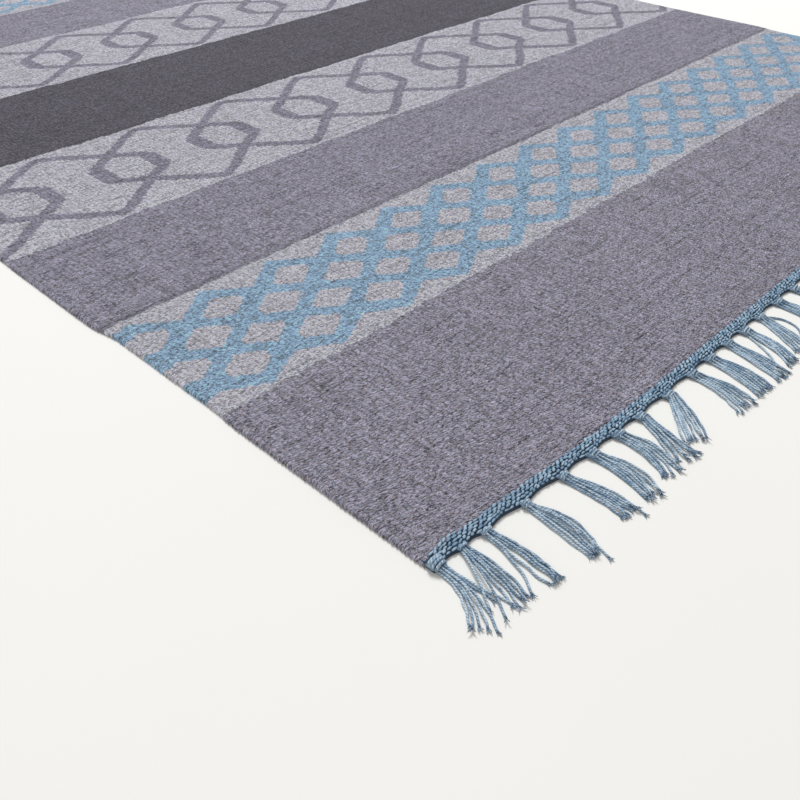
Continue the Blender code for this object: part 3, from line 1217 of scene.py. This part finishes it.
@dataclass
class WovenCloth:
    """The woven sheet: every weft row a low ridge, looped at the selvedges."""

    plan: RugPlan
    name: str = "woven_cloth"
    row_step: float = 2.4 * MM
    interior_columns: int = 74
    edge_insets: tuple[float, ...] = (0.0, 0.5, 1.2, 2.2, 3.6, 6.0, 11.0)
    edge_radius: float = 3.2 * MM
    hem_in: float = 0.4 * MM
    hem_height: float = 0.10
    edge_height: float = 0.24
    ridge: float = 0.10 * MM
    ridge_range: Span = (0.5, 1.4)
    loop_reach: float = 0.95 * MM
    loop_width: float = 2.2 * MM
    loop_range: Span = (0.6, 1.35)
    furrow_depth: float = 0.6 * MM
    furrow_share: float = 0.07
    furrow_reach: Span = (15.0, 80.0)
    furrow_slope: float = 2.5
    furrow_range: Span = (0.05, 0.16)
    band_inset: float = 3.0 * MM
    band_width: float = 1.8 * MM
    band_furrow: float = 0.08
    tongue: float = 3.5 * MM
    tongue_width: float = 11 * MM
    tongue_start: float = 1.6
    fade: float = 110 * MM
    edge_fade: float = 80 * MM
    border_cover: float = -1.6 * MM
    tuck: float = 3.0 * MM
    tuck_height: float = 0.45
    seed: int = 5

    def __post_init__(self) -> None:
        """Lays out the cloth's points, by weft row and by column."""
        insets = np.array(self.edge_insets) * MM
        half = self.plan.width / 2
        inner = np.linspace(-half + insets[-1], half - insets[-1], self.interior_columns)
        columns = np.concatenate([-half + insets[:-1], inner, (half - insets[:-1])[::-1]])
        start = self.plan.border_depth + self.border_cover
        span = self.plan.length - 2 * start
        count = int(round(span / self.row_step / 2)) * 2
        index = np.arange(count + 1)
        self.across, self.from_front = np.meshgrid(columns, start + span * index / count)
        self.crest = np.where(index % 2 == 0, 1.0, -1.0)[:, None]
        self.inset = half - np.abs(self.across)

    def build(self, material: Material) -> Item:
        """The cloth as one closed mesh.

        Args:
            material: The woven wool.

        Returns:
            The finished piece.
        """
        x, y = self._placed()
        hollow = self._furrows()
        height = self._heights(x, y, hollow)
        rng = np.random.default_rng(self.seed + 1)
        loop = np.clip(1 - self.inset / self.loop_width, 0, 1) * self.loop_reach * self.crest
        x = x + np.sign(self.across) * loop * rng.uniform(*self.loop_range, self.crest.shape)
        top = np.stack([x, y, height], axis=2)
        hems = [self._hem(top[:, -1], -1.0), self._hem(top[:, 0], 1.0)[:, ::-1]]
        mesh = swept(self.name, np.concatenate([top, *hems], axis=1), material)
        weave = np.stack([self.across + self.plan.width / 2, self.from_front, hollow], axis=2)
        weave = np.concatenate([weave, np.repeat(weave[:, [-1, 0]], 2, axis=1)], axis=1)
        made = mesh.attributes.new("weave", "FLOAT_VECTOR", "POINT")
        made.data.foreach_set("vector", weave.reshape(-1).astype(np.float32))
        sides = len(mesh.polygons) - 2
        mesh.polygons.foreach_set("use_smooth", [True] * sides + [False] * 2)
        mesh.update()
        return linked(self.name, mesh)

    def _placed(self) -> tuple[np.ndarray, np.ndarray]:
        """The points moved to where the drawn-in ends and edges put them.

        Returns:
            Their places across and along the rug.
        """
        plan, across = self.plan, self.across
        y = self.from_front - plan.length / 2
        tongue = self.tongue * np.clip(self.tongue_start - self.inset / self.tongue_width, 0, 1)
        moved = y
        for end in End:
            to_end = plan.length / 2 + end.turn * y
            drawn = plan.drawn_in(end, across * end.turn) * np.exp(-to_end / self.fade)
            drawn = drawn - tongue * np.exp(-to_end / (self.tongue_width * 2))
            moved = moved + end.turn * drawn
        out = plan.stands_out(moved) * np.exp(-self.inset / self.edge_fade)
        return across + np.sign(across) * out, moved

    def _furrows(self) -> np.ndarray:
        """Where the wefts part a little.

        Returns:
            The depth at each point, from 0 to about 1.
        """
        rng = np.random.default_rng(self.seed)
        found = np.zeros_like(self.across)
        for row in np.flatnonzero(self.crest[:, 0] < 0):
            if rng.random() > self.furrow_share:
                continue
            middle = rng.uniform(-0.5, 0.5) * self.plan.width
            reach = rng.uniform(*self.furrow_reach) * MM
            share = np.clip(1 - np.abs(self.across[row] - middle) / reach, 0, 1)
            depth = rng.uniform(*self.furrow_range)
            found[row] = np.minimum(share * self.furrow_slope, 1.0) * depth
        edge = self.plan.border_depth
        for band in BANDS[:-1]:
            edge += band.depth
            if band.name.startswith("plum"):
                continue
            line = edge + self.band_inset
            for place in (line, self.plan.length - line):
                near = np.exp(-(((self.from_front - place) / self.band_width) ** 2))
                found = np.maximum(found, self.band_furrow * near)
        return found

    def _heights(self, x: np.ndarray, y: np.ndarray, hollow: np.ndarray) -> np.ndarray:
        """The top's height: the ridges, the furrows and the rounded edge.

        Args:
            x: The points' places across the rug.
            y: Their places along it.
            hollow: How deep the furrows are there.

        Returns:
            The height of each point.
        """
        rng = np.random.default_rng(self.seed + 2)
        strength = rng.uniform(*self.ridge_range, self.crest.shape)
        surface = self.plan.thickness + self.plan.ripple(x, y)
        surface = surface + self.ridge * self.crest * strength - self.furrow_depth * hollow
        to_end = np.minimum(self.from_front, self.plan.length - self.from_front)
        to_end = to_end - self.plan.border_depth - self.border_cover
        full = np.clip(to_end / self.tuck, 0, 1)
        surface = surface * (self.tuck_height + (1 - self.tuck_height) * full)
        share = np.clip(1 - self.inset / self.edge_radius, 0, 1)
        middle = self.plan.thickness * self.edge_height
        return middle + (surface - middle) * np.sqrt(1 - share**2)

    def _hem(self, edge: np.ndarray, inward: float) -> np.ndarray:
        """The two lines under a selvedge: its tucked side, and its foot.

        Args:
            edge: The selvedge's points.
            inward: The sign of the way in.

        Returns:
            Both lines' points, by row.
        """
        hem = np.repeat(edge[:, None], 2, axis=1)
        hem[..., 0] += inward * np.array([self.hem_in, self.edge_radius])
        hem[..., 2] = (self.plan.thickness * self.hem_height, 0.0)
        return hem


@dataclass(frozen=True)
class StitchRow:
    """A row of stitches in the border, measured from its outer edge."""

    inwards: float
    height: float
    follows: float


# The rows of stitches, from the cloth's side to the outer edge
STITCH_ROWS = (
    # inwards, height, follows
    StitchRow(12.1 * MM, 4.1 * MM, 0.0),
    StitchRow(9.6 * MM, 4.6 * MM, 0.12),
    StitchRow(7.0 * MM, 4.6 * MM, 0.30),
    StitchRow(4.4 * MM, 4.0 * MM, 0.58),
    StitchRow(1.8 * MM, 3.0 * MM, 1.0),
)


@dataclass(frozen=True)
class Stitch:
    """One oval stitch, and how much the stitches differ."""

    pitch: float = 5.3 * MM
    size: Place = (6.3 * MM, 2.75 * MM, 2.7 * MM)
    slant: float = 13.0
    stray: Place = (0.45 * MM, 0.45 * MM, 0.225 * MM)
    swing: Place = (0.0, 0.12, 0.30)
    smallest: Place = (0.72, 0.72, 0.72)
    largest: Place = (1.12, 1.14, 1.22)
    segments: int = 8
    rings: int = 6
    seed: int = 3


class StitchTree(PieceTree):
    """Sets one oval stitch at each pitch along wires."""

    def __init__(self, stitch: Stitch, material: Material) -> None:
        """Builds the tree.

        Args:
            stitch: The stitch's sizes.
            material: Its material.
        """
        super().__init__("stitches", Pitch="Float", Seed="Int")
        curve = self.graph.add("GeometryNodeMeshToCurve", {"Mesh": self.given})
        inputs = {"Curve": curve, "Length": self.given.other("Pitch")}
        line = self.graph.add("GeometryNodeResampleCurve", inputs, mode="LENGTH")
        back = tuple(-value for value in stitch.stray)
        inputs = {"Geometry": line, "Offset": self._random(back, stitch.stray)}
        points = self.graph.add("GeometryNodeSetPosition", inputs)
        inputs = {
            "Points": points,
            "Instance": self._oval(stitch),
            "Rotation": self._turn(stitch),
            "Scale": self._random(stitch.smallest, stitch.largest),
        }
        scattered = self.graph.add("GeometryNodeInstanceOnPoints", inputs)
        seed = {"Seed": self.given.other("Seed")}
        tone = self.graph.add("FunctionNodeRandomValue", seed, 1, data_type="FLOAT")
        self.end(self.stored(scattered, "tone", tone, "FLOAT", "INSTANCE"), material)

    def _random(self, low: Place, high: Place) -> Value:
        """A random vector for each point."""
        inputs = {0: low, 1: high, "Seed": self.given.other("Seed")}
        return self.graph.add("FunctionNodeRandomValue", inputs, data_type="FLOAT_VECTOR")

    def _oval(self, stitch: Stitch) -> Value:
        """One stitch, with its own section stored as `ring`.

        Args:
            stitch: Its sizes.

        Returns:
            Its mesh.
        """
        graph = self.graph
        inputs = {"Segments": stitch.segments, "Rings": stitch.rings, "Radius": 0.5}
        ball = graph.add("GeometryNodeMeshUVSphere", inputs)
        lying = Euler((0.0, math.pi / 2, 0.0))
        ball = graph.add("GeometryNodeTransform", {"Geometry": ball, "Rotation": lying})
        _, y, z = graph.split(graph.add("GeometryNodeInputPosition"))
        ball = self.stored(ball, "ring", graph.join(y, z), "FLOAT_VECTOR", "POINT")
        slant = Euler((0.0, 0.0, math.radians(stitch.slant)))
        inputs = {"Geometry": ball, "Rotation": slant, "Scale": stitch.size}
        return graph.add("GeometryNodeTransform", inputs)

    def _turn(self, stitch: Stitch) -> Value:
        """How each stitch is turned: along its row, and a little at random.

        Args:
            stitch: Its sizes.

        Returns:
            The rotation.
        """
        graph = self.graph
        inputs = {"Vector": graph.add("GeometryNodeInputTangent")}
        kinds = {"axis": "X", "pivot_axis": "Z"}
        align = graph.add("FunctionNodeAlignRotationToVector", inputs, **kinds)
        back = tuple(-value for value in stitch.swing)
        inputs = {"Euler": self._random(back, stitch.swing)}
        swing = graph.add("FunctionNodeEulerToRotation", inputs)
        inputs = {"Rotation": align, "Rotate By": swing}
        return graph.add("FunctionNodeRotateRotation", inputs)


@dataclass
class CordedBorder:
    """The corded border of one end: rows of short stitches over a core."""

    plan: RugPlan
    end: End
    stitch: Stitch = Stitch()
    corner_clear: float = 10.5 * MM
    rise: float = 2.5 * MM
    rise_middle: float = 30 * MM
    rise_width: float = 10 * MM
    sample: float = 4.0 * MM
    core_height: float = 4.1 * MM
    core_clear: float = 1.4 * MM
    core_rings: int = 351
    core_outer: float = 0.1 * MM
    core_inner: float = -0.2 * MM
    # The core's section, as shares of its depth and of its height
    core_section: tuple[Span, ...] = (
        (1.0, 0.0), (1.0, 0.86), (0.60, 1.0), (0.25, 0.92), (0.0, 0.55), (0.0, 0.0),
    )

    def edge_line(self, x: np.ndarray, follows: float = 1.0) -> np.ndarray:
        """The outer edge's line, scalloped between the knots.

        Args:
            x: Places across the rug, in the end's own frame.
            follows: How much of the scallops the line has.

        Returns:
            The y of each place, in the end's own frame.
        """
        knots = np.array([t.knot for t in self.plan.tassels(self.end)])
        knots = knots - self.plan.width / 2
        cell = np.clip(np.searchsorted(knots, x) - 1, 0, len(knots) - 2)
        share = (x - knots[cell]) / (knots[cell + 1] - knots[cell])
        hollow = self.plan.scallop * np.sin(np.pi * np.clip(share, 0, 1)) ** 2
        base = -self.plan.length / 2 + self.plan.drawn_in(self.end, x)
        return base + hollow * follows

    def build(self, stitch_material: Material, core_material: Material) -> Item:
        """The border as one piece: its core and all its stitches.

        Args:
            stitch_material: The blue cord of the stitches.
            core_material: The core's dark finish, painted shade between and under them.

        Returns:
            The finished piece.
        """
        wire = Wire()
        half = self.plan.width / 2
        pitch = self.stitch.pitch
        for index, row in enumerate(STITCH_ROWS):
            begin = -half + self.corner_clear + (index % 2) * pitch / 2
            xs = np.arange(begin, half - self.corner_clear, self.sample)
            beside = (xs + half - self.rise_middle) / self.rise_width
            bump = self.rise * np.exp(-(beside**2)) * row.inwards / self.plan.border_depth
            line = self.edge_line(xs, row.follows) + row.inwards + bump
            places = np.stack([xs, line, np.full_like(xs, row.height)], axis=1)
            places[:, :2] *= self.end.turn
            wire.add(places, MM, 0.5)
        source = wire.object(f"{self.end.value}_rows")
        tree = StitchTree(self.stitch, stitch_material)
        stitches = tree.make(
            source, f"{self.end.value}_border", Pitch=pitch, Seed=self.stitch.seed
        )
        both = [stitches, self._core(core_material)]
        with bpy.context.temp_override(
            active_object=stitches, object=stitches,
            selected_editable_objects=both, selected_objects=both,
        ):
            bpy.ops.object.join()
        return stitches

    def _core(self, material: Material) -> Item:
        """The solid strip under the stitches, flat on the floor.

        Args:
            material: Its material.

        Returns:
            The strip.
        """
        half = self.plan.width / 2 - self.core_clear
        xs = np.linspace(-half, half, self.core_rings)
        outer = self.edge_line(xs) + self.core_outer
        inner = self.edge_line(xs, 0.0) + self.plan.border_depth + self.core_inner
        lines = [
            np.stack([xs, outer + (inner - outer) * depth, xs * 0 + self.core_height * height], 1)
            for depth, height in self.core_section
        ]
        rings = np.stack(lines, axis=1)
        rings[..., :2] *= self.end.turn
        name = f"{self.end.value}_core"
        return linked(name, swept(name, rings, material))


@dataclass
class TasselFringe:
    """The tassels of one end: their cords, their wraps and their frayed tips."""

    plan: RugPlan
    end: End
    border: CordedBorder
    cord_radius: float = 1.08 * MM
    radius_range: Span = (0.92, 1.08)
    taper: float = 0.10
    stops: int = 22
    belly_at: float = 0.45
    reach_stray: Span = (-2.5, 2.0)
    wave_range: Span = (0.3, 1.0)
    waves_range: Span = (1.5, 4.0)
    curl_range: Span = (-2.6, 2.2)
    fall_range: Span = (0.22, 0.42)
    fall_power: float = 1.6
    arch_range: Span = (0.0, 0.8)
    lift_early: float = 1.1
    lift_power: float = 0.7
    neck_low: float = 1.7 * MM
    neck_high: float = 3.9 * MM
    root_out: float = 3.0 * MM
    root_heights: Span = (2.3 * MM, 2.8 * MM)
    root_spreads: Span = (0.35, 0.14)
    # Painted shade on the cords at their roots under the border and just below it
    root_painted_shade: float = 0.6
    neck_painted_shade: float = 0.45
    neck_shade_reach: float = 0.09
    worn_length: float = 3.5 * MM
    wrap_radius: float = 1.02 * MM
    bundle_radius: float = 1.35 * MM
    wrap_steps: int = 14
    wrap_start: float = 0.8 * MM
    bundle_start: float = 9.5 * MM
    wrap_tall: float = 2.2 * MM
    bundle_tall: float = 2.9 * MM
    wrap_uneven: Span = (0.92, 1.06)
    wrap_ends: float = 0.80
    wrap_swell: float = 0.24
    wrap_late: float = 0.8
    wrap_slip: float = 0.5
    wrap_tones: Span = (0.30, 0.75)
    # Painted shade on the wraps, darker towards the floor
    wrap_painted_shade: float = 0.9
    fray_length: float = 4.6 * MM
    frays_each: int = 8
    fray_radii: Place = (0.46 * MM, 0.44 * MM, 0.26 * MM)
    fray_start: float = 1.2 * MM
    fray_low: float = 0.35 * MM
    fray_spread: Span = (-0.95, 0.95)
    fray_rise: Span = (-0.1, 0.5)
    fray_lengths: Span = (0.4, 1.1)
    fray_wear: Span = (0.0, 0.5)
    sides: int = 6
    fray_sides: int = 3
    front_seed: int = 17
    back_seed: int = 41

    def __post_init__(self) -> None:
        """Starts the random numbers and the three kinds of strand."""
        seed = self.front_seed if self.end is End.FRONT else self.back_seed
        self.rng = np.random.default_rng(seed)
        self.cords, self.wraps, self.frays = Wire(), Wire(), Wire()

    def build(self, body: StrandTree, prefix: str) -> list[Item]:
        """Every tassel of the end, in three pieces.

        Args:
            body: The tree that gives the strands their body.
            prefix: What the pieces' names start with.

        Returns:
            The cords, the wraps and the frayed tips.
        """
        for tassel in self.plan.tassels(self.end):
            self._tassel(tassel)
        kinds = {
            "cords": (self.cords, self.sides),
            "wraps": (self.wraps, self.sides),
            "frays": (self.frays, self.fray_sides),
        }
        return [
            body.make(wire.object(f"{prefix}_{part}_wire"), f"{prefix}_{part}", Sides=sides)
            for part, (wire, sides) in kinds.items()
        ]

    def _turned(self, places: np.ndarray) -> np.ndarray:
        """Places in the end's own frame made places on the rug."""
        return places * (self.end.turn, self.end.turn, 1.0)

    def _tassel(self, tassel: Tassel) -> None:
        """Adds one tassel's wrap and cords.

        Args:
            tassel: The tassel.
        """
        knot_x = tassel.knot - self.plan.width / 2
        edge = float(self.border.edge_line(np.array([knot_x]))[0])
        self._wrap(tassel, knot_x, edge)
        strands = [(s, fan.lift) for fan in tassel.fans for s in fan.strands()]
        strands.sort(key=lambda pair: pair[0].neck)
        lines = np.stack([knot_x + self._line(strand) for strand, _ in strands])
        for index, (strand, lift) in enumerate(strands):
            upper = index % 2 == 1
            stacked = self._stacked(lines, index) if upper else 0.0
            neck_height = self.neck_high if upper else self.neck_low
            self._cord(tassel, lines[index], edge, strand.reach, neck_height, stacked, lift)

    def _line(self, strand: Strand) -> np.ndarray:
        """A cord's places beside its knot, all along its run.

        Args:
            strand: Its neck, belly and tip.

        Returns:
            The places.
        """
        rng = self.rng
        stop = np.linspace(0, 1, self.stops)
        belly = self.belly_at
        x = (
            strand.neck * (stop - belly) * (stop - 1) / belly
            + strand.belly * stop * (stop - 1) / (belly * (belly - 1))
            + strand.tip * stop * (stop - belly) / (1 - belly)
        )
        wave = rng.uniform(*self.wave_range) * MM
        phase, waves = rng.uniform(0, 2 * np.pi), rng.uniform(*self.waves_range)
        curl = rng.uniform(*self.curl_range) * MM * stop**8
        return x + wave * stop * np.sin(phase + 2 * np.pi * waves * stop) + curl

    def _stacked(self, lines: np.ndarray, index: int) -> np.ndarray:
        """How high a cord lies where it rests on the cords beside it.

        Args:
            lines: All the tassel's cords.
            index: Which one it is.

        Returns:
            The height at each stop.
        """
        beside = [near for near in (index - 1, index + 1) if near < len(lines)]
        gap = np.abs(lines[beside] - lines[index]).min(axis=0)
        rest = np.sqrt(np.maximum((2 * self.cord_radius) ** 2 - gap**2, 0.0))
        return np.convolve(np.pad(rest, 1, mode="edge"), (0.25, 0.5, 0.25), "valid")

    def _wrap(self, tassel: Tassel, knot_x: float, edge: float) -> None:
        """Adds the cord that is wound round the bundle's neck.

        Args:
            tassel: The tassel.
            knot_x: Where it is knotted.
            edge: The border's outer edge there.
        """
        turns, steps = tassel.turns, tassel.turns * self.wrap_steps
        angle = np.linspace(0.0, 2 * np.pi * turns, steps + 1) + np.pi
        bundle = turns > self.plan.turns
        radius = self.bundle_radius if bundle else self.wrap_radius
        wide = tassel.half_wrap - radius * 0.5
        tall = self.bundle_tall if bundle else self.wrap_tall
        first = edge + (self.bundle_start if bundle else self.wrap_start) - radius
        run = edge + tassel.neck + radius - first
        share = np.linspace(0.0, 1.0, steps + 1)
        each = np.linspace(0.0, 1.0, turns + 1)
        uneven = np.interp(share, each, self.rng.uniform(*self.wrap_uneven, turns + 1))
        bulge = np.sin(math.pi * share**self.wrap_late)
        swell = uneven * (self.wrap_ends + self.wrap_swell * bulge)
        slip = self.rng.uniform(-self.wrap_slip, self.wrap_slip, turns + 1) * radius
        y = first + run * share + np.interp(share, each, slip)
        z = tall * swell * (1 + np.sin(angle)) + radius
        places = np.stack([knot_x + wide * swell * np.cos(angle), y, z], axis=1)
        tone = self.rng.uniform(*self.wrap_tones)
        # Painted shade, darker towards the bottom of each turn
        wear_and_shade = self.wrap_painted_shade * np.clip(1 - z / (tall + radius), 0, 1)
        self.wraps.add(self._turned(places), radius, tone, wear_and_shade)

    def _cord(
        self,
        tassel: Tassel,
        line: np.ndarray,
        edge: float,
        reach: float,
        neck_height: float,
        stacked: object,
        lift: float,
    ) -> None:
        """Adds one cord, from under the border to its frayed tip.

        Args:
            tassel: The tassel that the cord hangs from.
            line: The cord's places across the rug, at each stop.
            edge: The border's outer edge at the knot.
            reach: How far the cord runs.
            neck_height: How high it leaves the neck.
            stacked: How far the cords beside it hold it up.
            lift: How far it arches over the next tassel's cords.
        """
        rng = self.rng
        radius = self.cord_radius * rng.uniform(*self.radius_range)
        stop = np.linspace(0, 1, self.stops)
        reach += rng.uniform(*self.reach_stray) * MM
        neck = edge + tassel.neck
        fall = np.clip(stop / rng.uniform(*self.fall_range), 0, 1)
        falling = (neck_height - radius) * (1 - fall) ** self.fall_power
        arch = rng.uniform(*self.arch_range) * MM * np.sin(np.pi * stop) ** 2
        lifted = np.clip(stop * self.lift_early, 0, 1)
        over = lift * np.sin(np.pi * lifted) ** self.lift_power
        z = radius + np.maximum(falling, stacked) + np.maximum(arch, over)
        free = np.stack([line, neck - reach * stop, z], axis=1)
        beside = line[0] - (tassel.knot - self.plan.width / 2)
        root_x = line[0] + beside * np.array(self.root_spreads)
        root_y = (edge + self.root_out, (edge + self.wrap_start + neck) / 2)
        root = np.stack([root_x, root_y, self.root_heights], axis=1)
        radii = radius * np.concatenate([np.ones(2), 1 - self.taper * stop])
        tip_wear = np.clip(1 - reach * (1 - stop) / self.worn_length, 0, 1)
        # Painted shade at the roots and neck, under the border; wear at the tips
        neck_shade = self.neck_painted_shade * np.clip(1 - stop / self.neck_shade_reach, 0, 1)
        wear_and_shade = np.concatenate([[self.root_painted_shade] * 2, np.maximum(tip_wear, neck_shade)])
        tone = rng.uniform(0, 1)
        self.cords.add(self._turned(np.concatenate([root, free])), radii, tone, wear_and_shade)
        self._fray(free[-1], free[-1] - free[-3], radius, tone)

    def _fray(self, tip: np.ndarray, heading: np.ndarray, radius: float, tone: float) -> None:
        """Adds the loosened fibres at a cord's tip.

        Args:
            tip: Where the cord ends.
            heading: Which way it runs there.
            radius: How thick it is.
            tone: How pale it is.
        """
        rng = self.rng
        heading = heading / np.linalg.norm(heading)
        side = np.array([-heading[1], heading[0], 0.0])
        side = side / np.linalg.norm(side)
        for _ in range(self.frays_each):
            spread = side * rng.uniform(*self.fray_spread)
            away = heading + spread + np.array([0.0, 0.0, rng.uniform(*self.fray_rise)])
            length = self.fray_length * rng.uniform(*self.fray_lengths)
            start = tip - heading * self.fray_start + spread * radius * 0.8
            middle = start + (heading + spread * 0.3) * length * 0.5
            last = middle + away / np.linalg.norm(away) * length * 0.6
            places = np.stack([start, middle, last])
            places[:, 2] = np.maximum(places[:, 2], self.fray_low)
            wear_and_shade = rng.uniform(*self.fray_wear)
            self.frays.add(self._turned(places), self.fray_radii, tone, wear_and_shade)


@dataclass(frozen=True)
class Lamp:
    """A broad soft lamp: its place, its disk's size and its power in watts."""

    name: str
    place: Place
    size: float
    power: float


@dataclass(frozen=True)
class Studio:
    """The floor, the soft light and the camera."""

    eye_height: float = 480 * MM
    eye_left: float = -311.9 * MM
    eye_front: float = -259.0 * MM
    pitch: float = 38.434
    heading: float = 44.127
    lens: float = 39.68
    sensor: float = 36.0
    nearest: float = 0.01
    floor_reach: float = 7.0
    lamps: tuple[Lamp, ...] = (
        Lamp("key", (2.44, 3.84, 5.94), 3.2, 565.0),
        Lamp("fill", (-3.4, -2.6, 1.9), 2.6, 14.0),
    )
    lamp_aim: Place = (-0.4, -0.7, 0.0)
    sky: float = 0.46
    sky_colour: Colour = (1.0, 0.995, 0.985)

    def build(self, plan: RugPlan) -> None:
        """Sets up the floor, the lights, the world and the camera.

        Args:
            plan: The rug's plan, whose near corner the camera is placed from.
        """
        bpy.context.scene.view_settings.view_transform = "Standard"
        self._floor()
        for lamp in self.lamps:
            self._hang(lamp)
        self._sky()
        self._camera(plan)

    def _floor(self) -> None:
        """A wide plain floor at Z = 0."""
        reach = self.floor_reach
        mesh = bpy.data.meshes.new("floor")
        corners = [(-reach, -reach, 0), (reach, -reach, 0), (reach, reach, 0), (-reach, reach, 0)]
        mesh.from_pydata(corners, [], [(0, 1, 2, 3)])
        mesh.materials.append(FloorPaint().build())
        linked("floor", mesh)

    def _hang(self, lamp: Lamp) -> None:
        """Hangs a lamp, turned to the rug's near corner.

        Args:
            lamp: The lamp.
        """
        light = bpy.data.lights.new(lamp.name, "AREA")
        light.shape = "DISK"
        light.size = lamp.size
        light.energy = lamp.power
        hung = linked(lamp.name, light)
        hung.location = lamp.place
        away = Vector(lamp.place) - Vector(self.lamp_aim)
        hung.rotation_euler = away.to_track_quat("Z", "Y").to_euler()

    def _sky(self) -> None:
        """Even white light from all round."""
        world = bpy.data.worlds.new("even light")
        world.use_nodes = True
        backdrop = world.node_tree.nodes["Background"]
        backdrop.inputs["Color"].default_value = (*self.sky_colour, 1.0)
        backdrop.inputs["Strength"].default_value = self.sky
        bpy.context.scene.world = world

    def _camera(self, plan: RugPlan) -> None:
        """The camera, over the floor before the rug's near left corner.

        Args:
            plan: The rug's plan.
        """
        data = bpy.data.cameras.new("camera")
        data.lens = self.lens
        data.sensor_width = self.sensor
        data.clip_start = self.nearest
        camera = linked("camera", data)
        left, front = -plan.width / 2 + self.eye_left, -plan.length / 2 + self.eye_front
        camera.location = (left, front, self.eye_height + plan.thickness)
        down = math.radians(90 - self.pitch)
        camera.rotation_euler = (down, 0.0, math.radians(self.heading - 90))
        bpy.context.scene.camera = camera


def main() -> None:
    """Builds the dressed rug and the studio, hides the solids it dresses, groups its pieces and logs
    their face counts.
    """
    logging.basicConfig(level=logging.INFO, format="%(name)s: %(message)s")
    plan = RugPlan()
    cord_finish = BlueCord().build()
    stitch_finish = BorderStitch().build()
    core_finish = BorderCore().build()
    strands = StrandTree(cord_finish)
    cloth = WovenCloth(plan).build(WovenWool(plan).build())
    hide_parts("cloth")
    LOG.info("%s: %d faces", cloth.name, len(cloth.data.polygons))
    trims = []
    for end in End:
        border = CordedBorder(plan, end)
        pieces = [border.build(stitch_finish, core_finish)]
        pieces += TasselFringe(plan, end, border).build(strands, f"{end.value}_tassel")
        for piece in pieces:
            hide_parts(f"{end.value}_fringe")
            LOG.info("%s: %d faces", piece.name, len(piece.data.polygons))
        trims += pieces
    for piece in [cloth, *trims]:
        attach(piece, "root")
    Studio().build(plan)


if __name__ == "__main__":
    main()
